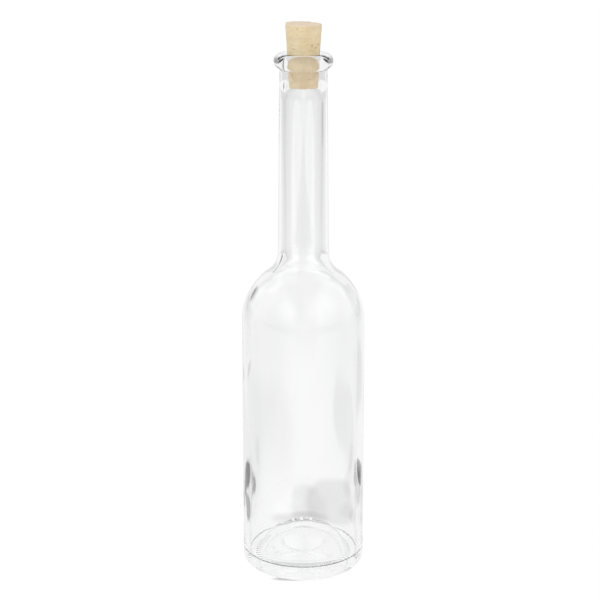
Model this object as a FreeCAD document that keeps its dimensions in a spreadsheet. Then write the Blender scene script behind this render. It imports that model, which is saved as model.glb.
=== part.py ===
import FreeCAD, Part
import math
import os
import Sketcher
from FreeCAD import Vector

# A small clear glass bottle, blown in one piece, with a tapered cork in its mouth.
# Millimetres, +Z up, origin at the centre of the face that the bottle rests on.

DIMENSIONS = (
    # alias, value, what it measures
    ("body_diameter", 40.5, "outside of the straight body"),
    ("body_wall", 2.0, "glass thickness of body and shoulder"),
    ("bottle_height", 172.7, "from the table to the top of the lip"),
    ("shoulder_start", 85.1, "height where the straight side ends"),
    ("shoulder_radius", 20.6, "outside radius of the round shoulder"),
    ("shoulder_blend", 7.5, "hollow rounding between shoulder and neck"),
    ("bore_blend", 12.0, "rounding inside, between shoulder and neck bore"),
    ("neck_bore", 11.4, "inside diameter of the neck"),
    ("neck_wall_foot", 2.75, "glass thickness where the neck leaves the shoulder"),
    ("neck_wall_top", 1.95, "glass thickness just below the lip"),
    ("lip_height", 4.85, "height of the rounded bead at the mouth"),
    ("lip_overhang", 1.83, "how far the bead stands out from the neck"),
    ("lip_blend", 0.5, "hollow rounding under the bead"),
    ("mouth_bore", 10.4, "inside diameter of the mouth"),
    ("mouth_depth", 8.0, "length of the straight mouth"),
    ("mouth_flare", 4.0, "length over which the mouth widens to the neck bore"),
    ("mouth_rounding", 1.2, "rounding of the mouth's upper edge"),
    ("heel_radius", 3.5, "rounding between body and underside"),
    ("base_thickness", 5.1, "glass under the valley that runs round the inside floor"),
    ("corner_rounding", 0.8, "rounding between the valley and the wall"),
    ("dome_radius", 16.6, "radius of the domed inside floor"),
    ("dome_foot_rounding", 1.2, "hollow rounding between the dome and the valley"),
    ("floor_thickness", 8.7, "glass at the centre, between the hollow underside and the dome"),
    ("push_up", 5.5, "rise of the hollow underside at its centre"),
    ("push_up_diameter", 23.4, "width of the hollow underside"),
    ("push_up_rounding", 0.8, "rounding of the hollow's lower edge"),
    ("mould_ring_diameter", 11.0, "raised ring that the mould leaves underneath"),
    ("mould_ring_bead", 0.6, "thickness of that ring's bead"),
    ("cork_length", 20.2, "whole length of the cork"),
    ("cork_standing", 9.55, "length of cork that stands out of the mouth"),
    ("cork_taper", 3.7, "angle of the cork's side to its axis, in degrees"),
    ("cork_top_rounding", 0.5, "worn upper edge of the cork"),
    ("cork_bottom_rounding", 0.3, "worn lower edge of the cork"),
    ("cork_clearance", 0.05, "gap all round the cork where the mouth grips it"),
)

ALIASES = {alias for alias, value, meaning in DIMENSIONS}
EDGE_MATCH = 0.001
FULL_TURN = 360

# The sketcher's numbers for the points of a curve, and for the origin and the axis.
START, END, CENTRE = 1, 2, 3
ORIGIN = (-1, 1)
AXIS = -2

doc = FreeCAD.newDocument("CorkedBottle")
sheet = doc.addObject("Spreadsheet::Sheet", "Dimensions")
for row, (alias, value, meaning) in enumerate(DIMENSIONS, start=1):
    sheet.set("A%d" % row, meaning)
    sheet.set("B%d" % row, str(value))
    sheet.setAlias("B%d" % row, alias)
doc.recompute()


def cell(alias):
    """The value that the sheet holds under an alias."""
    return float(sheet.get(alias))


def sized(formula):
    """Turn a formula of aliases, with a space round each word, into one that names the sheet."""
    words = formula.split(" ")
    return " ".join("Dimensions." + word if word in ALIASES else word for word in words)


# ---- sketches -------------------------------------------------------------

def new_body(label):
    body = doc.addObject("PartDesign::Body", label)
    body.Label = label
    return body


def new_sketch(body, name):
    """A sketch on the body's own XZ plane: across is the radius, up is the height."""
    planes = [item for item in body.Origin.OriginFeatures if item.Role == "XZ_Plane"]
    sketch = body.newObject("Sketcher::SketchObject", name)
    sketch.AttachmentSupport = (planes[0], "")
    sketch.MapMode = "FlatFace"
    return sketch


def line(x0, z0, x1, z1):
    return Part.LineSegment(Vector(x0, z0, 0), Vector(x1, z1, 0))


def arc(x, z, radius, first, last):
    """An arc drawn anticlockwise from one angle to the other, in radians."""
    circle = Part.Circle(Vector(x, z, 0), Vector(0, 0, 1), radius)
    return Part.ArcOfCircle(circle, first, last)


def join(sketch, first, second):
    sketch.addConstraint(Sketcher.Constraint("Coincident", *first, *second))


def bind(sketch, name, constraint, formula):
    """Add a named size to the sketch and tie it to the sheet."""
    index = sketch.addConstraint(constraint)
    sketch.renameConstraint(index, name)
    sketch.setExpression("Constraints." + name, sized(formula))


def bind_across(sketch, name, point, formula):
    """Tie a point's distance from the axis to the sheet."""
    drawn = sketch.getPoint(*point).x
    bind(sketch, name, Sketcher.Constraint("DistanceX", *ORIGIN, *point, drawn), formula)


def bind_up(sketch, name, point, formula):
    """Tie a point's height to the sheet."""
    drawn = sketch.getPoint(*point).y
    bind(sketch, name, Sketcher.Constraint("DistanceY", *ORIGIN, *point, drawn), formula)


def bind_curve(sketch, name, curve, formula):
    """Tie the radius of an arc or circle to the sheet."""
    drawn = sketch.Geometry[curve].Radius
    bind(sketch, name, Sketcher.Constraint("Radius", curve, drawn), formula)


def spin(body, kind, name, sketch):
    """Turn a sketch once round the upright axis, to add or to cut."""
    feature = body.newObject("PartDesign::" + kind, name)
    feature.Profile = sketch
    feature.ReferenceAxis = (sketch, ["V_Axis"])
    feature.Angle = FULL_TURN
    doc.recompute()
    return feature


def round_ring(body, name, radius, height, formula):
    """Fillet the circular edge that lies at this radius and height."""
    base = body.Tip
    found = []
    for number, edge in enumerate(base.Shape.Edges, start=1):
        if edge.Degenerated or not isinstance(edge.Curve, Part.Circle):
            continue
        same_radius = abs(edge.Curve.Radius - radius) < EDGE_MATCH
        same_height = abs(edge.Curve.Center.z - height) < EDGE_MATCH
        if same_radius and same_height:
            found.append("Edge%d" % number)
    fillet = body.newObject("PartDesign::Fillet", name)
    fillet.Base = (base, found)
    fillet.setExpression("Radius", sized(formula))
    doc.recompute()
    return fillet


# ---- glass ----------------------------------------------------------------

body_radius = cell("body_diameter") / 2
inside_radius = body_radius - cell("body_wall")
bore_radius = cell("neck_bore") / 2
mouth_radius = cell("mouth_bore") / 2
foot_radius = bore_radius + cell("neck_wall_foot")
neck_radius = bore_radius + cell("neck_wall_top")
top = cell("bottle_height")
lip_foot = top - cell("lip_height")
shoulder_centre = body_radius - cell("shoulder_radius")


def shoulder_height(sphere_radius, radius):
    """Height of a shoulder arc where it is this far from the axis."""
    rise = math.sqrt(sphere_radius ** 2 - (radius - shoulder_centre) ** 2)
    return cell("shoulder_start") + rise


def draw_outline(bottle):
    """Straight side, round shoulder, tapering neck and the bead of the lip."""
    half_lip = cell("lip_height") / 2
    bead = (half_lip ** 2 + cell("lip_overhang") ** 2) / (2 * cell("lip_overhang"))
    bead_centre = neck_radius + cell("lip_overhang") - bead
    bead_angle = math.atan2(half_lip, neck_radius - bead_centre)
    neck_foot = shoulder_height(cell("shoulder_radius"), foot_radius)
    shoulder_angle = math.atan2(
        neck_foot - cell("shoulder_start"), foot_radius - shoulder_centre)

    sketch = new_sketch(bottle, "Outline")
    underside, side, shoulder, neck, lip, rim, axis = sketch.addGeometry([
        line(0, 0, body_radius, 0),
        line(body_radius, 0, body_radius, cell("shoulder_start")),
        arc(shoulder_centre, cell("shoulder_start"), cell("shoulder_radius"), 0, shoulder_angle),
        line(foot_radius, neck_foot, neck_radius, lip_foot),
        arc(bead_centre, lip_foot + half_lip, bead, -bead_angle, bead_angle),
        line(neck_radius, top, 0, top),
        line(0, top, 0, 0)], False)
    loop = (underside, side, shoulder, neck, lip, rim, axis)
    for first, second in zip(loop, loop[1:] + loop[:1]):
        join(sketch, (first, END), (second, START))
    join(sketch, (underside, START), ORIGIN)
    sketch.addConstraint([
        Sketcher.Constraint("Horizontal", underside),
        Sketcher.Constraint("Vertical", side),
        Sketcher.Constraint("Horizontal", shoulder, CENTRE, shoulder, START),
        Sketcher.Constraint("Vertical", lip, START, lip, END),
        Sketcher.Constraint("Horizontal", rim),
        Sketcher.Constraint("Vertical", axis)])
    bind_across(sketch, "body_radius", (underside, END), "body_diameter / 2")
    bind_up(sketch, "side_top", (side, END), "shoulder_start")
    bind_curve(sketch, "shoulder_radius", shoulder, "shoulder_radius")
    bind_across(sketch, "neck_foot", (neck, START), "neck_bore / 2 + neck_wall_foot")
    bind_across(sketch, "neck_top", (neck, END), "neck_bore / 2 + neck_wall_top")
    bind_up(sketch, "lip_foot", (neck, END), "bottle_height - lip_height")
    bind_curve(sketch, "lip_radius", lip,
               "( lip_height * lip_height / 4 + lip_overhang * lip_overhang ) / ( 2 * lip_overhang )")
    bind_up(sketch, "rim_height", (rim, START), "bottle_height")
    doc.recompute()
    return sketch


def draw_cavity(bottle):
    """Domed floor with a flat valley round it, wall, shoulder, neck bore and mouth."""
    floor_top = cell("push_up") + cell("floor_thickness")
    valley_up = cell("base_thickness")
    corner_radius = cell("corner_rounding")
    corner_across = inside_radius - corner_radius
    dome = cell("dome_radius")
    dome_up = floor_top - dome
    # The rounding at the dome's foot touches the dome from outside and the valley from above.
    foot = cell("dome_foot_rounding")
    foot_up = valley_up + foot
    foot_across = math.sqrt((dome + foot) ** 2 - (foot_up - dome_up) ** 2)
    slope = math.atan2(foot_up - dome_up, foot_across)
    inner_shoulder = cell("shoulder_radius") - cell("body_wall")
    bore_foot = shoulder_height(inner_shoulder, bore_radius)
    shoulder_angle = math.atan2(bore_foot - cell("shoulder_start"), bore_radius - shoulder_centre)
    mouth_foot = top - cell("mouth_depth")
    flare_foot = mouth_foot - cell("mouth_flare")

    sketch = new_sketch(bottle, "Cavity")
    floor, dome_foot, valley, corner, wall, shoulder, bore, flare, mouth, rim, axis = sketch.addGeometry([
        arc(0, dome_up, dome, slope, math.pi / 2),
        arc(foot_across, foot_up, foot, slope + math.pi, 3 * math.pi / 2),
        line(foot_across, valley_up, corner_across, valley_up),
        arc(corner_across, valley_up + corner_radius, corner_radius, 3 * math.pi / 2, 2 * math.pi),
        line(inside_radius, valley_up + corner_radius, inside_radius, cell("shoulder_start")),
        arc(shoulder_centre, cell("shoulder_start"), inner_shoulder, 0, shoulder_angle),
        line(bore_radius, bore_foot, bore_radius, flare_foot),
        line(bore_radius, flare_foot, mouth_radius, mouth_foot),
        line(mouth_radius, mouth_foot, mouth_radius, top),
        line(mouth_radius, top, 0, top),
        line(0, top, 0, floor_top)], False)
    sketch.addConstraint([
        Sketcher.Constraint("Tangent", floor, START, dome_foot, START),
        Sketcher.Constraint("Tangent", dome_foot, END, valley, START),
        Sketcher.Constraint("Tangent", valley, END, corner, START),
        Sketcher.Constraint("Tangent", corner, END, wall, START),
        Sketcher.Constraint("Tangent", wall, END, shoulder, START)])
    loop = (shoulder, bore, flare, mouth, rim, axis)
    for first, second in zip(loop, loop[1:]):
        join(sketch, (first, END), (second, START))
    join(sketch, (axis, END), (floor, END))
    sketch.addConstraint([
        Sketcher.Constraint("PointOnObject", floor, CENTRE, AXIS),
        Sketcher.Constraint("PointOnObject", axis, END, AXIS),
        Sketcher.Constraint("Horizontal", valley),
        Sketcher.Constraint("Vertical", wall),
        Sketcher.Constraint("Vertical", bore),
        Sketcher.Constraint("Vertical", mouth),
        Sketcher.Constraint("Horizontal", rim),
        Sketcher.Constraint("Vertical", axis)])
    bind_up(sketch, "floor_top", (floor, END), "push_up + floor_thickness")
    bind_curve(sketch, "dome_radius", floor, "dome_radius")
    bind_curve(sketch, "dome_foot", dome_foot, "dome_foot_rounding")
    bind_up(sketch, "valley_height", (valley, START), "base_thickness")
    bind_curve(sketch, "corner", corner, "corner_rounding")
    bind_across(sketch, "inside_radius", (wall, END), "body_diameter / 2 - body_wall")
    bind_up(sketch, "wall_top", (wall, END), "shoulder_start")
    bind_curve(sketch, "inner_shoulder", shoulder, "shoulder_radius - body_wall")
    bind_across(sketch, "bore_radius", (bore, START), "neck_bore / 2")
    bind_up(sketch, "flare_foot", (flare, START), "bottle_height - mouth_depth - mouth_flare")
    bind_across(sketch, "mouth_radius", (mouth, START), "mouth_bore / 2")
    bind_up(sketch, "mouth_foot", (mouth, START), "bottle_height - mouth_depth")
    bind_up(sketch, "mouth_top", (mouth, END), "bottle_height")
    doc.recompute()
    return sketch


def draw_push_up(bottle):
    """The hollow underside: part of a sphere whose centre is on the axis."""
    edge = cell("push_up_diameter") / 2
    rise = cell("push_up")
    sphere = (edge ** 2 + rise ** 2) / (2 * rise)
    sketch = new_sketch(bottle, "PushUp")
    hollow, axis, opening = sketch.addGeometry([
        arc(0, rise - sphere, sphere, math.atan2(sphere - rise, edge), math.pi / 2),
        line(0, rise, 0, 0),
        line(0, 0, edge, 0)], False)
    join(sketch, (hollow, END), (axis, START))
    join(sketch, (axis, END), (opening, START))
    join(sketch, (opening, END), (hollow, START))
    join(sketch, (axis, END), ORIGIN)
    sketch.addConstraint([
        Sketcher.Constraint("PointOnObject", hollow, CENTRE, AXIS),
        Sketcher.Constraint("Vertical", axis),
        Sketcher.Constraint("Horizontal", opening)])
    bind_up(sketch, "rise", (hollow, END), "push_up")
    bind_across(sketch, "edge", (opening, END), "push_up_diameter / 2")
    doc.recompute()
    return sketch


def draw_mould_ring(bottle):
    """A round bead, half sunk in the hollow underside."""
    edge = cell("push_up_diameter") / 2
    rise = cell("push_up")
    sphere = (edge ** 2 + rise ** 2) / (2 * rise)
    across = cell("mould_ring_diameter") / 2
    up = rise - sphere + math.sqrt(sphere ** 2 - across ** 2)
    sketch = new_sketch(bottle, "MouldRing")
    bead = sketch.addGeometry(
        Part.Circle(Vector(across, up, 0), Vector(0, 0, 1), cell("mould_ring_bead") / 2), False)
    bind_curve(sketch, "bead", bead, "mould_ring_bead / 2")
    bind_across(sketch, "across", (bead, CENTRE), "mould_ring_diameter / 2")
    squares = "( push_up_diameter * push_up_diameter / 4 + push_up * push_up )"
    radius = "( " + squares + " / ( 2 * push_up ) )"
    ring = "mould_ring_diameter * mould_ring_diameter / 4"
    bind_up(sketch, "up", (bead, CENTRE),
            "push_up - " + radius + " + sqrt( " + radius + " * " + radius + " - " + ring + " )")
    doc.recompute()
    return sketch


def make_bottle():
    bottle = new_body("bottle")
    spin(bottle, "Revolution", "Blank", draw_outline(bottle))
    neck_foot = shoulder_height(cell("shoulder_radius"), foot_radius)
    round_ring(bottle, "ShoulderBlend", foot_radius, neck_foot, "shoulder_blend")
    round_ring(bottle, "LipBlend", neck_radius, lip_foot, "lip_blend")
    round_ring(bottle, "Heel", body_radius, 0, "heel_radius")
    spin(bottle, "Groove", "Hollow", draw_cavity(bottle))
    bore_foot = shoulder_height(cell("shoulder_radius") - cell("body_wall"), bore_radius)
    round_ring(bottle, "BoreBlend", bore_radius, bore_foot, "bore_blend")
    round_ring(bottle, "MouthEdge", mouth_radius, top, "mouth_rounding")
    spin(bottle, "Groove", "Underside", draw_push_up(bottle))
    round_ring(bottle, "PushUpEdge", cell("push_up_diameter") / 2, 0, "push_up_rounding")
    spin(bottle, "Revolution", "Ring", draw_mould_ring(bottle))
    return bottle


# ---- cork -----------------------------------------------------------------

def draw_cork(cork):
    """A tapered plug that fills the mouth just below the mouth's rounded edge."""
    length = cell("cork_length")
    grip = length - cell("cork_standing") - cell("mouth_rounding")
    grip_radius = mouth_radius - cell("cork_clearance")
    slope = math.tan(math.radians(cell("cork_taper")))
    low = grip_radius - slope * grip
    high = grip_radius + slope * (length - grip)

    sketch = new_sketch(cork, "Plug")
    bottom, side, face, axis = sketch.addGeometry([
        line(0, 0, low, 0),
        line(low, 0, high, length),
        line(high, length, 0, length),
        line(0, length, 0, 0)], False)
    loop = (bottom, side, face, axis)
    for first, second in zip(loop, loop[1:] + loop[:1]):
        join(sketch, (first, END), (second, START))
    join(sketch, (bottom, START), ORIGIN)
    sketch.addConstraint([
        Sketcher.Constraint("Horizontal", bottom),
        Sketcher.Constraint("Horizontal", face),
        Sketcher.Constraint("Vertical", axis)])
    gripped = "mouth_bore / 2 - cork_clearance"
    slope_text = "tan( cork_taper * 1 deg )"
    bind_across(sketch, "low", (bottom, END), gripped + " - " + slope_text
                + " * ( cork_length - cork_standing - mouth_rounding )")
    bind_across(sketch, "high", (side, END), gripped + " + " + slope_text
                + " * ( cork_standing + mouth_rounding )")
    bind_up(sketch, "length", (side, END), "cork_length")
    doc.recompute()
    return sketch, low, high


def make_cork():
    cork = new_body("cork")
    sketch, low, high = draw_cork(cork)
    spin(cork, "Revolution", "PlugTurned", sketch)
    round_ring(cork, "TopEdge", high, cell("cork_length"), "cork_top_rounding")
    round_ring(cork, "BottomEdge", low, 0, "cork_bottom_rounding")
    cork.setExpression("Placement.Base.z", sized("bottle_height + cork_standing - cork_length"))
    doc.recompute()
    return cork


# ---- build, check and write -----------------------------------------------

sub_parts = [make_bottle(), make_cork()]
doc.recompute()

for item in doc.Objects:
    if "Invalid" in item.State or "Error" in item.State:
        raise RuntimeError("%s could not be built" % item.Label)
for part in sub_parts:
    if part.Shape.isNull() or not part.Shape.isValid():
        raise RuntimeError("%s has no sound solid" % part.Label)
    if len(part.Shape.Solids) != 1:
        raise RuntimeError("%s is not one solid" % part.Label)

os.makedirs("parts", exist_ok=True)
for part in sub_parts:
    part.Shape.exportStep(os.path.join("parts", part.Label + ".step"))
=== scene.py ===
import math

import bpy
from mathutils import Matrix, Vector


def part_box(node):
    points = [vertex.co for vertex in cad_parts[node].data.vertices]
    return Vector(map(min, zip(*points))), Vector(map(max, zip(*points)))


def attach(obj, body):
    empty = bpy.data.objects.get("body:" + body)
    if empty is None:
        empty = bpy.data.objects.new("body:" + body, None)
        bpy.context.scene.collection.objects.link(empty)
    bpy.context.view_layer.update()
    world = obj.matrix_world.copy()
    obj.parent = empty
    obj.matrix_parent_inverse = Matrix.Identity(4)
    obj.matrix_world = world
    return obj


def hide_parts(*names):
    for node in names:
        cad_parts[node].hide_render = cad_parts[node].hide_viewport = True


# A small clear glass bottle with a tapered natural cork, on a white studio floor.
# Metres; the bottle stands on z = 0 with its axis on the z axis.

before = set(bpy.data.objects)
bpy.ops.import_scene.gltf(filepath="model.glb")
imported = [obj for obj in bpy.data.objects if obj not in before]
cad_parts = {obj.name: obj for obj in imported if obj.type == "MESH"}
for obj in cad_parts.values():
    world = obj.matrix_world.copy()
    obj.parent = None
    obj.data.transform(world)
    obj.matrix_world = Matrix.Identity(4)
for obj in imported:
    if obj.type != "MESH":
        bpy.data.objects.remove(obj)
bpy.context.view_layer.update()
bottle_low, bottle_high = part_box("bottle")
cork_low, cork_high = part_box("cork")

MM = 0.001
HAIR = 0.01 * MM

# ---- sizes of the glass ----------------------------------------------------

BODY_RADIUS = (bottle_high[0] - bottle_low[0]) / 2
BOTTLE_TOP = bottle_high[2]
WALL = 2.0 * MM
SHOULDER_START = 85.1 * MM
SHOULDER_RADIUS = 20.6 * MM
SHOULDER_BLEND = 7.5 * MM
BORE_BLEND = 12.0 * MM
BORE_RADIUS = 5.7 * MM
FOOT_WALL = 2.75 * MM
NECK_WALL = 1.95 * MM
LIP_HEIGHT = 4.85 * MM
LIP_OVERHANG = 1.83 * MM
LIP_BLEND = 0.5 * MM
MOUTH_RADIUS = 5.2 * MM
MOUTH_DEPTH = 8.0 * MM
MOUTH_FLARE = 4.0 * MM
MOUTH_ROUNDING = 1.2 * MM
HEEL_RADIUS = 3.5 * MM
BASE_THICKNESS = 5.1 * MM
CORNER_ROUNDING = 0.8 * MM
DOME_RADIUS = 16.6 * MM
DOME_FOOT_ROUNDING = 1.2 * MM
FLOOR_THICKNESS = 8.7 * MM
PUSH_UP = 5.5 * MM
PUSH_UP_RADIUS = 11.7 * MM
PUSH_UP_ROUNDING = 0.8 * MM
RING_RADIUS = 5.5 * MM
RING_BEAD = 0.3 * MM
KNURL_INSIDE = 12.7 * MM
KNURL_OUTSIDE = 16.3 * MM
KNURL_EDGE = 0.3 * MM
KNURL_DEPTH = 0.30 * MM
KNURL_BARS = 56
# Where a groove starts and ends between two bars, as shares of their spacing.
GROOVE_START, GROOVE_END = 0.3, 0.8
# Raised dots under the bottle: turn from the front in degrees, distance from the axis and
# radius in mm. A dot's edge falls away between two shares of its radius.
DOTS = ((-4, 9.3, 0.5), (8, 9.3, 0.5), (20, 9.3, 0.5), (32, 9.3, 0.5), (44, 9.3, 0.5),
        (-62, 8.2, 0.55), (-80, 8.0, 0.4))
DOT_RISE = 0.3 * MM
DOT_EDGE = (1.15, 0.6)

# Soft waves in the wall: their depth, and their size each way.
INSIDE_WAVES = (0.55 * MM, (0.011, 0.011, 0.05))
OUTSIDE_WAVES = (0.03 * MM, (0.008, 0.008, 0.03))
# Heights between which the waves of a wall come in or die away, how much calmer the neck is,
# and the height below which the inside is floor and not wall.
INSIDE_RISE = (13 * MM, 20 * MM)
INSIDE_CALM_NECK = (100 * MM, 112 * MM)
INSIDE_CALM_MOUTH = (158 * MM, 150 * MM)
OUTSIDE_RISE = (4 * MM, 9 * MM)
NECK_CALM = 0.75
FLOOR_ZONE = 6 * MM

# ---- sizes of the cork -----------------------------------------------------

CORK_TOP = cork_high[2]
CORK_FOOT = cork_low[2]
CORK_RADIUS = (cork_high[0] - cork_low[0]) / 2
CORK_FOOT_RADIUS = 4.55 * MM
CORK_TOP_WEAR = 0.25 * MM
CORK_FOOT_WEAR = 0.3 * MM
CORK_SLANT = 0.035
CORK_WAVES = (0.06 * MM, (0.0016, 0.0016, 0.0016))
PORE_DEPTH = 0.32 * MM
CHIP_DEPTH = 0.22 * MM
# How near to the cut top its pores reach, and the middle of the cut faces that keeps no chips.
CUT_TOP_ZONE = 0.2 * MM
CUT_MIDDLE = 3.2 * MM

# Pores and nicks on the side of the cork: turn from the front in degrees, height, width and
# height of the mark in mm.
SIDE_PORES = (
    (-21, 181.0, 1.3, 0.6), (-24, 179.2, 0.7, 0.4), (-36, 174.5, 2.6, 0.4), (31, 175.6, 1.0, 1.6),
    (46, 174.9, 1.8, 0.6), (62, 175.9, 1.4, 0.6), (14, 179.2, 0.8, 0.3), (-62, 176.8, 1.2, 0.4),
    (-6, 172.6, 0.6, 0.5), (34, 170.6, 0.9, 0.5), (-36, 170.9, 1.5, 0.6), (-14, 167.4, 1.1, 0.35),
    (20, 165.2, 0.9, 0.4), (-44, 164.0, 1.3, 0.5), (92, 179.4, 1.6, 0.6), (118, 176.2, 1.1, 0.5),
    (141, 180.6, 0.9, 0.4), (163, 174.8, 2.2, 0.5), (-170, 178.1, 1.2, 0.6),
    (-141, 175.5, 1.8, 0.4), (-118, 180.2, 0.8, 0.4), (-97, 177.4, 1.5, 0.7),
    (-83, 173.9, 0.9, 0.4), (104, 168.3, 1.2, 0.4), (-128, 167.2, 1.6, 0.5),
    (176, 165.9, 1.0, 0.4), (74, 172.8, 1.1, 0.4), (-55, 181.2, 1.0, 0.4),
)
# Chips out of the upper and lower edges: the same four values.
EDGE_CHIPS = (
    (78, 181.6, 1.5, 1.6), (34, 182.2, 1.0, 0.7), (-48, 182.3, 1.3, 0.6), (-100, 182.2, 0.9, 0.9),
    (150, 182.2, 1.6, 0.8), (-160, 182.3, 0.8, 0.6), (-20, 162.2, 1.1, 0.7), (22, 162.1, 1.5, 0.8),
    (96, 162.2, 1.0, 0.7), (-75, 162.1, 1.2, 0.9), (165, 162.2, 1.4, 0.7),
)
# Pores across the cut top: place from the middle, length and width in mm, turn in degrees.
TOP_PORES = (
    (-2.6, 1.2, 1.5, 0.35, 12), (1.4, 2.6, 1.1, 0.4, 5), (2.9, -1.1, 1.6, 0.4, 18),
    (-0.7, -2.3, 0.9, 0.3, 8), (-3.6, -1.6, 0.8, 0.4, 2), (0.4, 0.6, 0.7, 0.35, 15),
    (-1.4, 3.7, 1.2, 0.3, 10), (3.7, 1.7, 0.9, 0.3, 14), (1.2, -3.9, 1.0, 0.35, 6),
)

# ---- steps of the meshes ---------------------------------------------------

GLASS_STEPS = 224
CORK_STEPS = 200
STRAIGHT_STEP = 2.5 * MM
CORK_STEP = 0.22 * MM
WELD = 0.002 * MM
LEAST_WEIGHT = 0.001

# ---- worked out from the sizes ---------------------------------------------

INSIDE_RADIUS = BODY_RADIUS - WALL
FOOT_RADIUS = BORE_RADIUS + FOOT_WALL
NECK_RADIUS = BORE_RADIUS + NECK_WALL
LIP_FOOT = BOTTLE_TOP - LIP_HEIGHT
OUTSIDE_CALM_LIP = (LIP_FOOT - 2 * MM, LIP_FOOT - 8 * MM)
SHOULDER_CENTRE = Vector((BODY_RADIUS - SHOULDER_RADIUS, SHOULDER_START))
RIGHT, UP, DOWN = Vector((1, 0)), Vector((0, 1)), Vector((0, -1))


# ---- the profile that is turned --------------------------------------------
# A profile point is a 2-D vector: distance from the axis, height.

def arc(centre, radius, start, end, steps, clockwise):
    """Points on a circle from one point's direction to another's."""
    first = math.atan2(start.y - centre.y, start.x - centre.x)
    last = math.atan2(end.y - centre.y, end.x - centre.x)
    turn = (last - first) % (2 * math.pi)
    if clockwise:
        turn -= 2 * math.pi
    angles = [first + turn * step / steps for step in range(steps + 1)]
    return [centre + radius * Vector((math.cos(angle), math.sin(angle))) for angle in angles]


def chain(stretches, spacing):
    """Join stretches end to end, with points along each straight gap between them."""
    points = [stretches[0][0]]
    for stretch in stretches:
        gap = stretch[0] - points[-1]
        steps = max(1, round(gap.length / spacing))
        if gap.length > HAIR:
            points += [points[-1] + gap * (step / steps) for step in range(1, steps + 1)]
        points += stretch[1:]
    return points


def touching(point, along, side, centre, radius, rounding):
    """Centre of a rounding that touches a straight line and, from outside, a circle."""
    base = point + side * rounding
    ahead = (centre - base).dot(along)
    apart = (centre - base).length_squared - ahead ** 2
    return base + along * (ahead + math.sqrt((radius + rounding) ** 2 - apart))


def toward(centre, radius, target):
    """Point of a circle on the side of a target."""
    return centre + (target - centre).normalized() * radius


def shoulder_height(radius, across):
    return SHOULDER_START + math.sqrt(radius ** 2 - (across - SHOULDER_CENTRE.x) ** 2)


def underside():
    """The hollow underside with its ring, its rounded edge, the flat foot and the heel."""
    sphere = (PUSH_UP_RADIUS ** 2 + PUSH_UP ** 2) / (2 * PUSH_UP)
    centre = Vector((0, PUSH_UP - sphere))
    edge = touching(Vector((0, 0)), RIGHT, UP, centre, sphere, PUSH_UP_ROUNDING)
    meet = toward(centre, sphere, edge)
    lean = math.asin(RING_RADIUS / sphere)
    half = 2 * math.asin(RING_BEAD / (2 * sphere))
    ring, ring_in, ring_out = [
        centre + sphere * Vector((math.sin(angle), math.cos(angle)))
        for angle in (lean, lean - half, lean + half)]
    heel = Vector((BODY_RADIUS - HEEL_RADIUS, HEEL_RADIUS))
    return (arc(centre, sphere, Vector((0, PUSH_UP)), ring_in, 20, clockwise=True),
            arc(ring, RING_BEAD, ring_in, ring_out, 8, clockwise=False),
            arc(centre, sphere, ring_out, meet, 42, clockwise=True),
            arc(edge, PUSH_UP_ROUNDING, meet, edge + DOWN * PUSH_UP_ROUNDING, 8, clockwise=False),
            [Vector((KNURL_INSIDE, 0)), Vector((KNURL_INSIDE + KNURL_EDGE, 0))],
            [Vector((KNURL_OUTSIDE - KNURL_EDGE, 0)), Vector((KNURL_OUTSIDE, 0))],
            arc(heel, HEEL_RADIUS, heel + DOWN * HEEL_RADIUS, heel + RIGHT * HEEL_RADIUS,
                12, clockwise=False))


def shoulder_and_lip():
    """Round shoulder, hollow blend, tapering neck and the bead of the lip."""
    neck_foot = Vector((FOOT_RADIUS, shoulder_height(SHOULDER_RADIUS, FOOT_RADIUS)))
    neck_top = Vector((NECK_RADIUS, LIP_FOOT))
    along = (neck_top - neck_foot).normalized()
    outward = Vector((along.y, -along.x))
    blend = touching(neck_foot, along, outward, SHOULDER_CENTRE, SHOULDER_RADIUS, SHOULDER_BLEND)
    blend_foot = toward(SHOULDER_CENTRE, SHOULDER_RADIUS, blend)
    half = LIP_HEIGHT / 2
    bead = (half ** 2 + LIP_OVERHANG ** 2) / (2 * LIP_OVERHANG)
    bead_centre = Vector((NECK_RADIUS + LIP_OVERHANG - bead, LIP_FOOT + half))
    under = touching(neck_top, -along, outward, bead_centre, bead, LIP_BLEND)
    under_end = toward(bead_centre, bead, under)
    return (arc(SHOULDER_CENTRE, SHOULDER_RADIUS, SHOULDER_CENTRE + RIGHT, blend_foot,
                28, clockwise=False),
            arc(blend, SHOULDER_BLEND, blend_foot, blend - outward, 8, clockwise=True),
            arc(under, LIP_BLEND, under - outward, under_end, 5, clockwise=True),
            arc(bead_centre, bead, under_end, Vector((NECK_RADIUS, BOTTLE_TOP)),
                18, clockwise=False))


def mouth_and_bore():
    """Rounded mouth, the flare under it, and the bore down to the inside of the shoulder."""
    mouth = Vector((MOUTH_RADIUS + MOUTH_ROUNDING, BOTTLE_TOP - MOUTH_ROUNDING))
    mouth_foot = Vector((MOUTH_RADIUS, BOTTLE_TOP - MOUTH_DEPTH))
    flare_foot = Vector((BORE_RADIUS, BOTTLE_TOP - MOUTH_DEPTH - MOUTH_FLARE))
    inner = SHOULDER_RADIUS - WALL
    blend = touching(flare_foot, UP, RIGHT, SHOULDER_CENTRE, inner, BORE_BLEND)
    blend_end = toward(SHOULDER_CENTRE, inner, blend)
    return (arc(mouth, MOUTH_ROUNDING, mouth + UP, mouth - RIGHT, 8, clockwise=False),
            [mouth_foot],
            [flare_foot],
            arc(blend, BORE_BLEND, blend - RIGHT, blend_end, 12, clockwise=False),
            arc(SHOULDER_CENTRE, inner, blend_end, SHOULDER_CENTRE + RIGHT, 24, clockwise=True))


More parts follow.
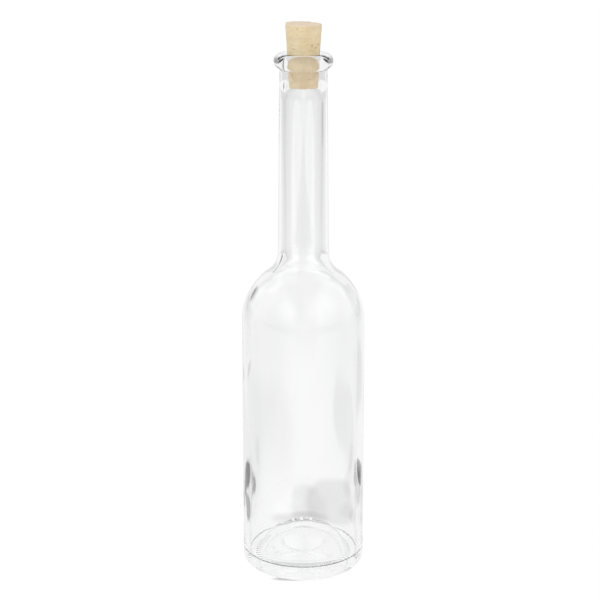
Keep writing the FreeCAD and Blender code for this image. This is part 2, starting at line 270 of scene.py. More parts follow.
def inside_floor():
    """Corner at the foot of the wall, the flat valley and the domed floor."""
    corner = Vector((INSIDE_RADIUS - CORNER_ROUNDING, BASE_THICKNESS + CORNER_ROUNDING))
    apex = Vector((0, PUSH_UP + FLOOR_THICKNESS))
    centre = apex + DOWN * DOME_RADIUS
    foot_up = BASE_THICKNESS + DOME_FOOT_ROUNDING
    reach = DOME_RADIUS + DOME_FOOT_ROUNDING
    foot = Vector((math.sqrt(reach ** 2 - (foot_up - centre.y) ** 2), foot_up))
    meet = toward(centre, DOME_RADIUS, foot)
    return (arc(corner, CORNER_ROUNDING, corner + RIGHT, corner + DOWN, 10, clockwise=True),
            arc(foot, DOME_FOOT_ROUNDING, foot + DOWN, meet, 10, clockwise=True),
            arc(centre, DOME_RADIUS, meet, apex, 30, clockwise=False))


# ---- modelling helpers -----------------------------------------------------

def deselect_all():
    if bpy.context.object is not None and bpy.context.object.mode != "OBJECT":
        bpy.ops.object.mode_set(mode="OBJECT")
    bpy.ops.object.select_all(action="DESELECT")


def turn_profile(name, points, round_steps):
    """Draw a profile as a chain of edges and spin it round the upright axis."""
    deselect_all()
    bpy.ops.mesh.primitive_plane_add(size=MM, location=(points[0].x, 0, points[0].y))
    turned = bpy.context.object
    turned.name = name
    bpy.ops.object.mode_set(mode="EDIT")
    bpy.ops.mesh.merge(type="CENTER")
    for here, there in zip(points, points[1:]):
        step = there - here
        bpy.ops.mesh.extrude_vertices_move(TRANSFORM_OT_translate={"value": (step.x, 0, step.y)})
    bpy.ops.mesh.select_all(action="SELECT")
    bpy.ops.mesh.spin(steps=round_steps, angle=2 * math.pi, center=(0, 0, 0), axis=(0, 0, 1))
    bpy.ops.mesh.select_all(action="SELECT")
    bpy.ops.mesh.remove_doubles(threshold=WELD)
    bpy.ops.mesh.normals_make_consistent(inside=False)
    bpy.ops.object.mode_set(mode="OBJECT")
    bpy.ops.object.shade_smooth()
    bpy.ops.object.transform_apply(location=True, rotation=True, scale=True)
    return turned


def set_weights(piece, name, weight_of):
    """Make a vertex group whose weights come from each vertex's place."""
    group = piece.vertex_groups.new(name=name)
    for vertex in piece.data.vertices:
        weight = weight_of(vertex.co)
        if weight > LEAST_WEIGHT:
            group.add([vertex.index], min(1, weight), "REPLACE")
    return group.name


def keep_marks(piece, name, weight_of):
    """Store a weight of every vertex for the material to read."""
    marks = piece.data.attributes.new(name, "FLOAT", "POINT")
    for vertex, mark in zip(piece.data.vertices, marks.data):
        mark.value = min(1, weight_of(vertex.co))


def push_surface(piece, group, amount, waves=None, frame_of_waves=None, middle=0.0):
    """Push the surface along its normals by a vertex group, evenly or in soft waves."""
    push = piece.modifiers.new("push", "DISPLACE")
    push.vertex_group = group
    push.strength = amount
    push.mid_level = middle
    if waves is not None:
        push.texture = waves
        push.texture_coords = "OBJECT"
        push.texture_coords_object = frame_of_waves
    bpy.context.view_layer.objects.active = piece
    bpy.ops.object.modifier_apply(modifier=push.name)
    piece.vertex_groups.clear()


def soft_waves(name, size, detail):
    """A cloud texture and the empty that sets how long and how wide its waves are."""
    waves = bpy.data.textures.new(name, "CLOUDS")
    waves.noise_scale = 1.0
    waves.noise_depth = detail
    deselect_all()
    bpy.ops.object.empty_add(location=(0.3, 0.2, 0.1))
    frame_of_waves = bpy.context.object
    frame_of_waves.scale = size
    bpy.context.view_layer.update()
    return waves, frame_of_waves


def wave_wall(piece, group, waves_of_wall, name, detail, middle):
    """Push a wall in soft waves: both ways for a middle of 0.5, only inwards for 1."""
    depth, size = waves_of_wall
    waves, frame_of_waves = soft_waves(name, size, detail)
    push_surface(piece, group, depth, waves, frame_of_waves, middle)
    bpy.data.objects.remove(frame_of_waves)
    bpy.data.textures.remove(waves)


def fade(value, low, high):
    """0 below low, 1 above high, smooth between; falls instead when high is below low."""
    share = min(1, max(0, (value - low) / (high - low)))
    return share * share * (3 - 2 * share)


def spot_weight(distance):
    """A round soft spot: 1 in the middle, 0 at distance 1."""
    return max(0, 1 - distance ** 2) ** 2


# ---- node helpers ----------------------------------------------------------

# A count on the path of light is above this when something has happened at least once.
ONCE = 0.5


def add_node(tree, kind, **values):
    """Add a node; values are its own settings in lower case or its input sockets by name."""
    node = tree.nodes.new(kind)
    for name, value in values.items():
        if hasattr(node, name):
            setattr(node, name, value)
        else:
            plug(tree, value, node.inputs[name.replace("_", " ")])
    return node


def plug(tree, value, socket):
    """Link a socket to another one, or set it to a plain value."""
    if isinstance(value, bpy.types.NodeSocket):
        tree.links.new(value, socket)
    else:
        socket.default_value = value


def own_place(tree):
    """The piece's own coordinates."""
    return add_node(tree, "ShaderNodeTexCoord").outputs["Object"]


def parts(tree, place):
    """X, Y and Z of a place or a direction."""
    return add_node(tree, "ShaderNodeSeparateXYZ", Vector=place).outputs


def placed(tree, stretch, shift=(0, 0, 0)):
    """The piece's own coordinates, stretched and shifted."""
    mapping = add_node(tree, "ShaderNodeMapping", Vector=own_place(tree), Scale=stretch,
                       Location=shift)
    return mapping.outputs[0]


def noise(tree, stretch, detail, roughness=0.5, shift=(0, 0, 0)):
    """Soft noise on the piece; stretch says how many waves fit in a metre each way."""
    cloud = add_node(tree, "ShaderNodeTexNoise", Vector=placed(tree, stretch, shift), Scale=1.0,
                     Detail=detail, Roughness=roughness)
    return cloud.outputs["Fac"]


def ramp(tree, value, stops):
    """A colour ramp; each stop is a place and a colour or a grey value."""
    node = add_node(tree, "ShaderNodeValToRGB", Fac=value)
    marks = node.color_ramp.elements
    while len(marks) < len(stops):
        marks.new(0.5)
    for mark, (place, colour) in zip(marks, stops):
        mark.position = place
        mark.color = colour if isinstance(colour, tuple) else (colour, colour, colour, 1)
    return node.outputs["Color"]


def blend(tree, share, first, second, how="MIX"):
    """Go from one colour to a second one by a share."""
    node = add_node(tree, "ShaderNodeMix", data_type="RGBA", blend_type=how)
    for value, socket in ((share, node.inputs[0]), (first, node.inputs[6]),
                          (second, node.inputs[7])):
        plug(tree, value, socket)
    return node.outputs[2]


def combine(tree, how, first, second=0.0):
    """One step of arithmetic on two values."""
    node = add_node(tree, "ShaderNodeMath", operation=how)
    plug(tree, first, node.inputs[0])
    plug(tree, second, node.inputs[1])
    return node.outputs[0]


def soft_step(tree, value, start, end, low, high):
    """A smooth change from low to high while the value goes from start to end."""
    step = add_node(tree, "ShaderNodeMapRange", interpolation_type="SMOOTHSTEP", Value=value)
    for name, level in (("From Min", start), ("From Max", end), ("To Min", low), ("To Max", high)):
        plug(tree, level, step.inputs[name])
    return step.outputs[0]


def soft_spot(tree, place, middle, half_size, dark, inner=0.6, outer=1.3):
    """Darkness of one soft-edged oval at a place."""
    away = add_node(tree, "ShaderNodeMapping", vector_type="TEXTURE", Vector=place,
                    Location=middle, Scale=half_size)
    length = add_node(tree, "ShaderNodeVectorMath", operation="LENGTH")
    plug(tree, away.outputs[0], length.inputs[0])
    return soft_step(tree, length.outputs["Value"], inner, outer, dark, 0.0)


def mix_shaders(tree, share, first, second):
    """Go from one shader to a second one by a share."""
    mix = add_node(tree, "ShaderNodeMixShader", Fac=share)
    plug(tree, first.outputs[0], mix.inputs[1])
    plug(tree, second.outputs[0], mix.inputs[2])
    return mix


def new_material(name):
    """A fresh material with its node tree and its main shader."""
    material = bpy.data.materials.new(name)
    material.use_nodes = True
    return material, material.node_tree, material.node_tree.nodes["Principled BSDF"]


# ---- glass -----------------------------------------------------------------

GLASS_IOR = 1.52
GLASS_RIPPLE = 0.012 * MM
GLASS_SCUFF = 0.35
SCUFF_HEIGHT = 0.8 * MM
# The glass is painted greyer where it is seen edge on: where that starts and ends, how much, the
# grey.
EDGE_ON, EDGE_SHARE, EDGE_PAINTED_SHADE = (0.72, 0.95), 0.3, (0.3, 0.31, 0.31, 1)
# The painted dark line where the wall meets the floor inside: how thin, where it starts to fade in
# beside and above the corner, its painted shade, and how much light gets through it from within.
CORNER_LINE = 0.3 * MM
CORNER_ASIDE, CORNER_ABOVE = 0.5 * MM, 0.6 * MM
CORNER_PAINTED_SHADE = (0.6, 0.61, 0.61, 1)
CORNER_LEFT_OVER = (0.22, 0.22, 0.23, 1)
# Not plain refraction, but set:
# light that has been thrown to and fro this often inside the wall comes out weaker, not black.
# How much of it is left goes by height, from the foot (0) to the lip (1).
BOUNCES_IN_WALL, BOUNCES_IN_LIP, LONGEST_PATH = 3.5, 2.5, 10.5
GLASS_LEFT_OVER = [(0.06, 0.45), (0.12, 0.9), (0.80, 0.9), (0.92, 0.26)]
# What the glass leaves of the light that goes straight through it into a shadow.
SHADOW_TINT = (0.955, 0.95, 0.945, 1)


def outer_radius(height):
    """Roughly how far the outside of the glass is from the axis at a height."""
    if height < SHOULDER_START:
        return BODY_RADIUS
    neck_foot = shoulder_height(SHOULDER_RADIUS, FOOT_RADIUS)
    if height < neck_foot:
        rise = height - SHOULDER_START
        return SHOULDER_CENTRE.x + math.sqrt(SHOULDER_RADIUS ** 2 - rise ** 2)
    share = (height - neck_foot) / (LIP_FOOT - neck_foot)
    return FOOT_RADIUS + (NECK_RADIUS - FOOT_RADIUS) * min(1, share)


def inside_wall(place):
    """1 on the inside of body and shoulder, less in the neck, 0 at the mouth and the floor."""
    across = math.hypot(place.x, place.y)
    if place.z < FLOOR_ZONE or across > outer_radius(place.z) - WALL / 2:
        return 0
    neck = 1 - NECK_CALM * fade(place.z, *INSIDE_CALM_NECK)
    return neck * fade(place.z, *INSIDE_RISE) * fade(place.z, *INSIDE_CALM_MOUTH)


def outside_wall(place):
    """1 on the outside from above the heel to below the lip, 0 elsewhere."""
    across = math.hypot(place.x, place.y)
    if across < outer_radius(place.z) - WALL / 2:
        return 0
    return fade(place.z, *OUTSIDE_RISE) * fade(place.z, *OUTSIDE_CALM_LIP)


def knurl(place):
    """Short grooves between the raised bars that the bottle stands on."""
    across = math.hypot(place.x, place.y)
    on_foot = place.z < HAIR
    between = KNURL_INSIDE + KNURL_EDGE / 2 < across < KNURL_OUTSIDE - KNURL_EDGE / 2
    turn = math.atan2(place.y, place.x) / (2 * math.pi) * KNURL_BARS
    return 1 if on_foot and between and GROOVE_START < turn % 1 < GROOVE_END else 0


def dots(place):
    """1 on the raised dots under the base, 0 elsewhere."""
    if place.z > PUSH_UP + 0.1 * MM:
        return 0
    weight = 0
    for turn, across, radius in DOTS:
        angle = math.radians(turn - 90)
        centre = Vector((math.cos(angle), math.sin(angle))) * across * MM
        distance = (place.xy - centre).length / (radius * MM)
        weight = max(weight, fade(distance, *DOT_EDGE))
    return weight


def glass_surface_group():
    """Colour and surface of moulded glass: faint tint, soft ripples, scuffs underneath."""
    tree = bpy.data.node_groups.new("moulded glass surface", "ShaderNodeTree")
    for name in ("Ripple", "Scuff"):
        tree.interface.new_socket(name, in_out="INPUT", socket_type="NodeSocketFloat")
    tree.interface.new_socket("Tint", in_out="OUTPUT", socket_type="NodeSocketColor")
    tree.interface.new_socket("Roughness", in_out="OUTPUT", socket_type="NodeSocketFloat")
    tree.interface.new_socket("Normal", in_out="OUTPUT", socket_type="NodeSocketVector")
    given = add_node(tree, "NodeGroupInput")
    made = add_node(tree, "NodeGroupOutput")

    streaks = noise(tree, (140, 140, 16), 2.0)
    tint = ramp(tree, streaks, [(0.35, (0.978, 0.984, 0.982, 1)), (0.65, (0.990, 0.986, 0.992, 1))])

    ripples = noise(tree, (240, 240, 28), 2.0)
    pits = noise(tree, (900, 900, 700), 1.0)
    height = combine(tree, "ADD", ripples, combine(tree, "MULTIPLY", pits, 0.12))
    bump = add_node(tree, "ShaderNodeBump", Strength=1.0, Height=height,
                    Distance=given.outputs["Ripple"])

    foot = add_node(tree, "ShaderNodeMapRange", Value=parts(tree, own_place(tree))["Z"])
    plug(tree, SCUFF_HEIGHT, foot.inputs["From Min"])
    plug(tree, 0.0, foot.inputs["From Max"])
    grit = ramp(tree, noise(tree, (2600, 2600, 900), 3.0), [(0.42, 0.0), (0.6, 1.0)])
    scuffed = combine(tree, "MULTIPLY", foot.outputs[0], grit)
    rough = combine(tree, "MULTIPLY", scuffed, given.outputs["Scuff"])

    plug(tree, tint, made.inputs["Tint"])
    plug(tree, rough, made.inputs["Roughness"])
    plug(tree, bump.outputs[0], made.inputs["Normal"])
    return tree


def corner_line(tree, place):
    """1 along the painted dark line where the wall meets the floor inside, 0 elsewhere."""
    level = add_node(tree, "ShaderNodeVectorMath", operation="MULTIPLY")
    plug(tree, place, level.inputs[0])
    plug(tree, (1, 1, 0), level.inputs[1])
    distance = add_node(tree, "ShaderNodeVectorMath", operation="LENGTH")
    plug(tree, level.outputs[0], distance.inputs[0])
    across = distance.outputs["Value"]
    height = parts(tree, place)["Z"]
    near_wall = soft_step(tree, across, INSIDE_RADIUS - CORNER_ASIDE, INSIDE_RADIUS - CORNER_LINE,
                          0.0, 1.0)
    inside = combine(tree, "LESS_THAN", across, INSIDE_RADIUS + WALL / 2)
    low = soft_step(tree, height, BASE_THICKNESS + CORNER_ABOVE, BASE_THICKNESS + CORNER_LINE,
                    0.0, 1.0)
    above = combine(tree, "GREATER_THAN", height, BASE_THICKNESS - CORNER_LINE)
    return combine(tree, "MULTIPLY", combine(tree, "MULTIPLY", near_wall, inside),
                   combine(tree, "MULTIPLY", low, above))


def glass_tint_and_painted_shade(tree, surface_tint, corner):
    """The glass's tint, with painted shade along the inside corner and where it's seen edge on."""
    # Painted shade along the inside corner.
    tint = blend(tree, corner, surface_tint, CORNER_PAINTED_SHADE)
    # Painted shade where the glass is seen edge on.
    facing = add_node(tree, "ShaderNodeLayerWeight", Blend=0.5).outputs["Facing"]
    edge = soft_step(tree, facing, *EDGE_ON, 0.0, EDGE_SHARE)
    return blend(tree, edge, tint, EDGE_PAINTED_SHADE)


def lost_light(tree, path, height, corner):
    """Where light is let out of the glass before its time, and how much of it is left."""
    bounces = soft_step(tree, height, LIP_FOOT - 1 * MM, LIP_FOOT + 1 * MM,
                        BOUNCES_IN_WALL, BOUNCES_IN_LIP)
    trapped = combine(tree, "MAXIMUM",
                      combine(tree, "GREATER_THAN", path.outputs["Glossy Depth"], bounces),
                      combine(tree, "GREATER_THAN", path.outputs["Ray Depth"], LONGEST_PATH))
    from_within = add_node(tree, "ShaderNodeNewGeometry").outputs["Backfacing"]
    # Along the painted dark corner line, light from within is let out weaker.
    caught = combine(tree, "MULTIPLY", corner, from_within)
    up = combine(tree, "DIVIDE", height, BOTTLE_TOP)
    left_over = blend(tree, caught, ramp(tree, up, GLASS_LEFT_OVER), CORNER_LEFT_OVER)
    return combine(tree, "MAXIMUM", trapped, caught), left_over


def glass_material():
    """Clear moulded glass that casts a light shadow and lets trapped light out."""
    glass, tree, shader = new_material("clear moulded glass")
    surface = tree.nodes.new("ShaderNodeGroup")
    surface.node_tree = glass_surface_group()
    plug(tree, GLASS_RIPPLE, surface.inputs["Ripple"])
    plug(tree, GLASS_SCUFF, surface.inputs["Scuff"])
    place = own_place(tree)
    # Where the dark corner line is painted.
    corner = corner_line(tree, place)
    plug(tree, glass_tint_and_painted_shade(tree, surface.outputs["Tint"], corner), shader.inputs["Base Color"])
    plug(tree, surface.outputs["Roughness"], shader.inputs["Roughness"])
    plug(tree, surface.outputs["Normal"], shader.inputs["Normal"])
    shader.inputs["IOR"].default_value = GLASS_IOR
    shader.inputs["Transmission Weight"].default_value = 1.0

    path = add_node(tree, "ShaderNodeLightPath")
    lost, left_over = lost_light(tree, path, parts(tree, place)["Z"], corner)
    weak = add_node(tree, "ShaderNodeBsdfTransparent", Color=left_over)
    clear = add_node(tree, "ShaderNodeBsdfTransparent", Color=SHADOW_TINT)
    seen = mix_shaders(tree, lost, shader, weak)
    mix = mix_shaders(tree, path.outputs["Is Shadow Ray"], seen, clear)
    plug(tree, mix.outputs[0], tree.nodes["Material Output"].inputs["Surface"])
    return glass


def make_bottle():
    stretches = underside() + shoulder_and_lip() + mouth_and_bore() + inside_floor()
    bottle = turn_profile("bottle_glass", chain(stretches, STRAIGHT_STEP), GLASS_STEPS)
    push_surface(bottle, set_weights(bottle, "knurl", knurl), -KNURL_DEPTH)
    push_surface(bottle, set_weights(bottle, "dots", dots), DOT_RISE)
    wave_wall(bottle, set_weights(bottle, "inside", inside_wall), INSIDE_WAVES,
              "settle waves", 1, 0.5)
    wave_wall(bottle, set_weights(bottle, "outside", outside_wall), OUTSIDE_WAVES,
              "mould waves", 1, 1.0)
    bottle.data.materials.append(glass_material())
    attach(bottle, "root")
    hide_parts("bottle")
    return bottle


# ---- cork ------------------------------------------------------------------

CORK_SPECKS = (0.34, 0.19, 0.09, 1)
CORK_HOLLOW_DARK = (0.36, 0.21, 0.10, 1)
# The cut top is paler, and the cork is painted lighter and warmer where it sits in the mouth,
# making up for light lost in the glass: heights between which that changes, how much, the colour.
CUT_FADE, CUT_SHARE = (CORK_TOP - 0.9 * MM, CORK_TOP - 0.3 * MM), 0.7
CUT_CORK = (0.84, 0.70, 0.58, 1)
MOUTH_FADE, MOUTH_LIGHT_SHARE = (BOTTLE_TOP - 4 * MM, BOTTLE_TOP - 1 * MM), 0.6
MOUTH_PAINTED_LIGHT = (1.22, 1.16, 1.13, 1)


def cork_profile():
    """Cut foot, worn foot edge, tapered side, worn top edge, cut top."""
    side_foot = Vector((CORK_FOOT_RADIUS, CORK_FOOT + CORK_FOOT_WEAR))
    side_top = Vector((CORK_RADIUS - HAIR, CORK_TOP - CORK_TOP_WEAR))
    foot = side_foot + Vector((-CORK_FOOT_WEAR, 0))
    top = side_top + Vector((-CORK_TOP_WEAR, 0))
    return ([Vector((0, CORK_FOOT)), foot + DOWN * CORK_FOOT_WEAR],
            arc(foot, CORK_FOOT_WEAR, foot + DOWN, foot + RIGHT, 5, clockwise=False),
            arc(top, CORK_TOP_WEAR, top + RIGHT, top + UP, 7, clockwise=False),
            [Vector((0, CORK_TOP))])


def side_dent(place, turn, height, wide, tall):
    """Weight of a soft oval dent on the side: turn in degrees from the front, sizes in mm."""
    angle = math.degrees(math.atan2(place.x, -place.y))
    apart = (angle - turn + 180) % 360 - 180
    along = math.radians(apart) * math.hypot(place.x, place.y) / (wide / 2 * MM)
    up = (place.z - height * MM) / (tall / 2 * MM)
    return spot_weight(math.hypot(along, up))


def pores(place):
    """How deep inside a pore of the side or the cut top a place is."""
    weight = 0
    for mark in SIDE_PORES:
        weight = max(weight, side_dent(place, *mark))
    if place.z > CORK_TOP - CUT_TOP_ZONE:
        for across, back, length, width, turn in TOP_PORES:
            lean = math.radians(turn)
            away = Vector((place.x - across * MM, place.y - back * MM))
            along = away.dot(Vector((math.cos(lean), math.sin(lean)))) / (length / 2 * MM)
            aside = away.dot(Vector((-math.sin(lean), math.cos(lean)))) / (width / 2 * MM)
            weight = max(weight, spot_weight(math.hypot(along, aside)))
    return weight


def chips(place):
    """How deep inside a chip of an edge a place is."""
    if math.hypot(place.x, place.y) < CUT_MIDDLE:
        return 0
    return max(side_dent(place, *mark) for mark in EDGE_CHIPS)


def hollow(place):
    """How deep inside a pore or a chip a place is."""
    return max(pores(place), 0.5 * chips(place))


def whole(place):
    """The same weight everywhere."""
    return 1


def slant_top(cork):
    """The top is cut a little aslant: its right side is lower."""
    for vertex in cork.data.vertices:
        share = fade(vertex.co.z, BOTTLE_TOP, CORK_TOP)
        vertex.co.z -= CORK_SLANT * (vertex.co.x + CORK_RADIUS) * share


def cork_material():
    """Layered natural cork with grain, specks, darker pores and chips and a paler cut top."""
    cork, tree, shader = new_material("natural cork")
    height = parts(tree, own_place(tree))["Z"]

    broad = noise(tree, (160, 160, 110), 3.0)
    colour = ramp(tree, broad, [(0.3, (0.80, 0.63, 0.38, 1)), (0.55, (0.87, 0.72, 0.47, 1)),
                                (0.75, (0.90, 0.78, 0.55, 1))])
    layers = noise(tree, (90, 700, 900), 2.0)
    colour = blend(tree, 0.25, colour, ramp(tree, layers, [(0.35, 0.6), (0.6, 1.0)]), "MULTIPLY")
    grain = noise(tree, (3000, 3000, 2600), 3.0, 0.6)
    colour = blend(tree, 0.25, colour, ramp(tree, grain, [(0.3, 0.6), (0.62, 1.0)]), "MULTIPLY")

    # Painted light: lighter and warmer where the cork sits in the mouth.
    painted_light = soft_step(tree, height, *MOUTH_FADE, MOUTH_LIGHT_SHARE, 0.0)
    colour = blend(tree, painted_light, colour, MOUTH_PAINTED_LIGHT, "MULTIPLY")

    spots = add_node(tree, "ShaderNodeTexVoronoi", Vector=placed(tree, (420, 420, 900)), Scale=1.0)
    spot = ramp(tree, spots.outputs["Distance"], [(0.10, 1.0), (0.2, 0.0)])
    chosen = ramp(tree, noise(tree, (230, 230, 300), 1.0, shift=(3, 1, 2)),
                  [(0.52, 0.0), (0.6, 1.0)])
    speck = combine(tree, "MULTIPLY", spot, chosen)
    colour = blend(tree, combine(tree, "MULTIPLY", speck, 0.65), colour, CORK_SPECKS)

    cut = soft_step(tree, height, *CUT_FADE, 0.0, CUT_SHARE)
    colour = blend(tree, cut, colour, CUT_CORK)
    # Darker in the pores and the chips, by their stored weights.
    marks = add_node(tree, "ShaderNodeAttribute", attribute_name="hollow")
    hollow_dark = soft_step(tree, marks.outputs["Fac"], 0.15, 0.8, 0.0, 0.5)
    colour = blend(tree, hollow_dark, colour, CORK_HOLLOW_DARK)
    plug(tree, colour, shader.inputs["Base Color"])
    rough = ramp(tree, grain, [(0.3, 0.95), (0.7, 0.78)])
    plug(tree, rough, shader.inputs["Roughness"])
    shader.inputs["Specular IOR Level"].default_value = 0.3
    depth = combine(tree, "SUBTRACT", combine(tree, "MULTIPLY", grain, 0.5), speck)
    bump = add_node(tree, "ShaderNodeBump", Strength=0.6, Height=depth, Distance=0.12 * MM)
    plug(tree, bump.outputs[0], shader.inputs["Normal"])
    return cork


def make_cork():
    cork = turn_profile("cork_stopper", chain(cork_profile(), CORK_STEP), CORK_STEPS)
    wave_wall(cork, set_weights(cork, "whole", whole), CORK_WAVES, "worn cork", 2, 1.0)
    keep_marks(cork, "hollow", hollow)
    push_surface(cork, set_weights(cork, "pores", pores), -PORE_DEPTH)
    push_surface(cork, set_weights(cork, "chips", chips), -CHIP_DEPTH)
    slant_top(cork)
    cork.data.materials.append(cork_material())
    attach(cork, "root")
    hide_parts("cork")
    return cork


# ---- studio ----------------------------------------------------------------

CAMERA_PLACE = (-1.1 * MM, -540.7 * MM, 248.7 * MM)
CAMERA_DOWN = 15.68
CAMERA_LENS = 103.2
CAMERA_SHIFT = -0.025

# Grey and brighter patches painted into the floor's material and seen only in the glass. They
# aren't objects: they are painted shadows and reflections that stand in for bent images of a
# room, and are placed to suit the view from the front.
# Middle and half size in mm, how dark (brighter when below 0), for some how sharp the edge is.
PAINTED_PATCHES = (
    # left blotch and its tail
    (-56, 61, 19, 12, 0.70, 0.75, 1.1), (-44.5, 56, 7, 9, 0.75, 0.7, 1.2),
    (-48, 39, 5, 13, 0.62, 0.7, 1.2), (-90, 190, 10, 16, 0.60),
    # right blotch and the grey below it
    (62, 66, 21, 12.5, 0.68, 0.85, 1.1), (51, 76, 6, 8, 0.55), (60, 50, 19, 17, 0.22),
    (50, 48, 6.5, 13, 0.12),
    # painted shadow of the bottle behind and under the foot
    (1, 50, 9, 17, 0.13, 0.6, 1.3), (18, 50, 17, 23, 0.16, 0.8, 1.15), (27, 63, 6.5, 11, 0.08),
    (-1, 36, 11, 6, 0.20, 0.6, 1.3), (24, 42, 8, 8, 0.08), (31.5, 34, 7.5, 6.5, 0.15),
    (0, 5, 17, 9, 0.12), (0, -12, 14, 5, 0.30),
    # body
    (-60, 120, 50, 80, 0.09), (34, 125, 8, 70, 0.09),
    (160, 140, 55, 60, 0.14),
    # neck: brighter bands, a greyer middle, the dark line on the right
    (-75, 690, 55, 240, -0.15), (75, 690, 55, 240, -0.15), (-75, 380, 50, 120, -0.05),
    (75, 380, 50, 120, -0.05), (0, 500, 20, 240, 0.06),
    (600, 470, 110, 90, 0.20), (-700, 900, 180, 500, 0.08),
)
# Grey bands painted along both sides of the floor in the same way: start and end, how dark.
PAINTED_SIDE_BANDS = ((0.006, 0.040, 0.06), (0.06, 0.36, 0.12), (0.36, 0.46, 0.08))
# Painted shade on the paper in front, seen only in the glass: where it starts, where it is full,
# and how dark it is beyond.
PAINTED_FRONT_DARK = (-0.22, -0.34, 0.0, 0.60)
# A grey patch drawn into the world behind on the left: direction, half size, how dark.
PANEL = ((-0.64, 0.76, 0.12), (0.12, 0.12, 0.12), 0.70)
# A shade drawn on the floor just in front of the foot. It isn't cast by the bottle.
FOOT_SHADE = ((-4 * MM, -16.4 * MM, 0), (6 * MM, 1.4 * MM, 1), 0.45)
# The room in the glass: in front, mirrored on the outside, and behind or above.
ROOM_FRONT = 0.28
ROOM_REFLECTED = 0.85
ROOM_IN_GLASS = 0.945
ROOM_BEHIND = (-0.5, 0.2)
ROOM_ABOVE = (0.05, 0.4)
# The room as it lights the cork and the paper.
LIT_ROOM_LEFT = 0.98
LIT_ROOM_RIGHT = 0.66
LIT_ROOM_TURN = (-0.7, 0.7)
# Round softboxes: turn from the front, height and width in degrees; brightness against white.
SOFTBOXES = (("left softbox", -38, 28, 54, 0.42), ("right softbox", 42, 33, 78, 0.48))
SOFTBOX_REACH = 1.4
SOFTBOX_MIDDLE = 1.5
WHITE = (1, 1, 1, 1)
PAPER_WHITE = (0.95, 0.95, 0.95, 1)
PAPER_SHADE = (0.02, 0.02, 0.02, 1)
PAPER_SIZE = 8
# How bright the paper glows, and how much of it is glow when seen plainly and in the glass.
# The first two clip the cast shadow to white; at 1.0 and 0.75 a faint one shows.
PAPER_GLOW = 1.03
PAPER_GLOW_SEEN = 0.93
PAPER_GLOW_IN_GLASS = 0.75


def set_camera():
    """A long lens in front of the bottle that looks down on it."""
    data = bpy.data.cameras.new("camera")
    data.sensor_width = 36
    data.lens = CAMERA_LENS
    data.shift_y = CAMERA_SHIFT
    camera = bpy.data.objects.new("camera", data)
    camera.location = CAMERA_PLACE
    camera.rotation_euler = (math.radians(90 - CAMERA_DOWN), 0, 0)
    bpy.context.collection.objects.link(camera)
    bpy.context.scene.camera = camera


def table_shade(tree, turned_back):
    """How dark the painted patches are; the painted front shade shows only in light turned back."""
    place = own_place(tree)
    dark = 1 - ROOM_IN_GLASS
    # Add up the painted patches, then the painted side bands.
    for across, back, wide, deep, *shade in PAINTED_PATCHES:
        spot = soft_spot(tree, place, (across * MM, back * MM, 0), (wide * MM, deep * MM, 1),
                         *shade)
        dark = combine(tree, "ADD", dark, spot)
    aside = combine(tree, "ABSOLUTE", parts(tree, place)["X"])
    for start, end, shade in PAINTED_SIDE_BANDS:
        dark = combine(tree, "ADD", dark, soft_step(tree, aside, start, end, 0.0, shade))
    # Painted shade on the paper in front, for light that the glass turns back.
    painted_front_dark = soft_step(tree, parts(tree, place)["Y"], *PAINTED_FRONT_DARK)
    return combine(tree, "ADD", dark, combine(tree, "MULTIPLY", painted_front_dark, turned_back))


def make_floor():
    """White paper: plain white to the camera but for painted shade; painted patches in the glass.
    """
    deselect_all()
    bpy.ops.mesh.primitive_plane_add(size=PAPER_SIZE, location=(0, 0, 0))
    floor = bpy.context.object
    floor.name = "studio_floor"
    white, tree, paper = new_material("white paper")
    paper.inputs["Base Color"].default_value = PAPER_WHITE
    paper.inputs["Roughness"].default_value = 0.9
    path = add_node(tree, "ShaderNodeLightPath")
    in_glass = path.outputs["Is Transmission Ray"]
    looking = combine(tree, "LESS_THAN", path.outputs["Diffuse Depth"], ONCE)
    turned_back = combine(tree, "GREATER_THAN", path.outputs["Glossy Depth"], ONCE)
    shade = combine(tree, "MULTIPLY", table_shade(tree, turned_back),
                    combine(tree, "MULTIPLY", in_glass, looking))
    shade = combine(tree, "ADD", shade, soft_spot(tree, own_place(tree), *FOOT_SHADE))
    glow_colour = blend(tree, shade, WHITE, PAPER_SHADE)
    glow = add_node(tree, "ShaderNodeEmission", Color=glow_colour, Strength=PAPER_GLOW)
    seen = combine(tree, "MAXIMUM", path.outputs["Is Camera Ray"], path.outputs["Is Glossy Ray"])
    share = combine(tree, "ADD", combine(tree, "MULTIPLY", seen, PAPER_GLOW_SEEN),
                    combine(tree, "MULTIPLY", in_glass, PAPER_GLOW_IN_GLASS))
    mix = mix_shaders(tree, share, paper, glow)
    plug(tree, mix.outputs[0], tree.nodes["Material Output"].inputs["Surface"])
    floor.data.materials.append(white)


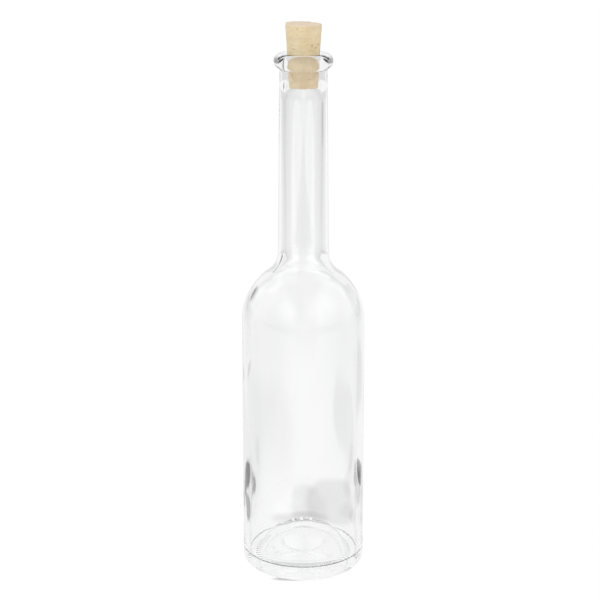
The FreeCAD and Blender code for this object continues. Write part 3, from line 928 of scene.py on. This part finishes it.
def set_world():
    """A white room; light that the glass turns back to the front finds it grey there."""
    world = bpy.data.worlds.new("studio")
    world.use_nodes = True
    bpy.context.scene.world = world
    tree = world.node_tree
    direction = add_node(tree, "ShaderNodeTexCoord").outputs["Generated"]
    facing = parts(tree, direction)
    path = add_node(tree, "ShaderNodeLightPath")
    straight = combine(tree, "LESS_THAN", path.outputs["Glossy Depth"], ONCE)
    front = combine(tree, "MAXIMUM", ROOM_FRONT, combine(tree, "MULTIPLY", straight, ROOM_IN_GLASS))
    front = combine(tree, "MAXIMUM", front,
                    combine(tree, "MULTIPLY", path.outputs["Is Glossy Ray"], ROOM_REFLECTED))
    back = soft_step(tree, facing["Y"], *ROOM_BEHIND, front, ROOM_IN_GLASS)
    above = soft_step(tree, facing["Z"], *ROOM_ABOVE, 0.0, ROOM_IN_GLASS)
    room = combine(tree, "MAXIMUM", back, above)
    room = combine(tree, "SUBTRACT", room, soft_spot(tree, direction, *PANEL))
    lighting = combine(tree, "GREATER_THAN", path.outputs["Diffuse Depth"], ONCE)
    lit = soft_step(tree, facing["X"], *LIT_ROOM_TURN, LIT_ROOM_LEFT, LIT_ROOM_RIGHT)
    room = blend(tree, lighting, room, lit)
    room = blend(tree, path.outputs["Is Camera Ray"], room, WHITE)
    background = tree.nodes["Background"]
    plug(tree, room, background.inputs["Color"])
    background.inputs["Strength"].default_value = 1.0


def add_softbox(name, turn, height, across, brightness):
    """A round softbox that faces the middle of the bottle."""
    size = 2 * SOFTBOX_REACH * math.tan(math.radians(across / 2))
    data = bpy.data.lights.new(name, "AREA")
    data.shape = "DISK"
    data.size = size
    data.energy = brightness * math.pi * math.pi * (size / 2) ** 2
    data.use_nodes = True
    tree = data.node_tree
    # Bright in the middle, fading to nothing at the rim.
    place = add_node(tree, "ShaderNodeNewGeometry").outputs["Parametric"]
    fall = soft_spot(tree, place, (0.5, 0.5, 0), (0.5, 0.5, 1), 1.0, inner=0.2, outer=1.0)
    plug(tree, combine(tree, "MULTIPLY", fall, SOFTBOX_MIDDLE),
         tree.nodes["Emission"].inputs["Strength"])
    turn, height = math.radians(turn), math.radians(height)
    toward_box = Vector((math.sin(turn) * math.cos(height), -math.cos(turn) * math.cos(height),
                         math.sin(height)))
    lamp = bpy.data.objects.new(name, data)
    lamp.location = Vector((0, 0, BOTTLE_TOP / 2)) + toward_box * SOFTBOX_REACH
    lamp.rotation_euler = (-toward_box).to_track_quat("-Z", "Y").to_euler()
    bpy.context.collection.objects.link(lamp)


def set_view():
    bpy.context.scene.view_settings.view_transform = "Standard"


set_camera()
set_view()
set_world()
make_floor()
for softbox in SOFTBOXES:
    add_softbox(*softbox)
bottle = make_bottle()
cork = make_cork()
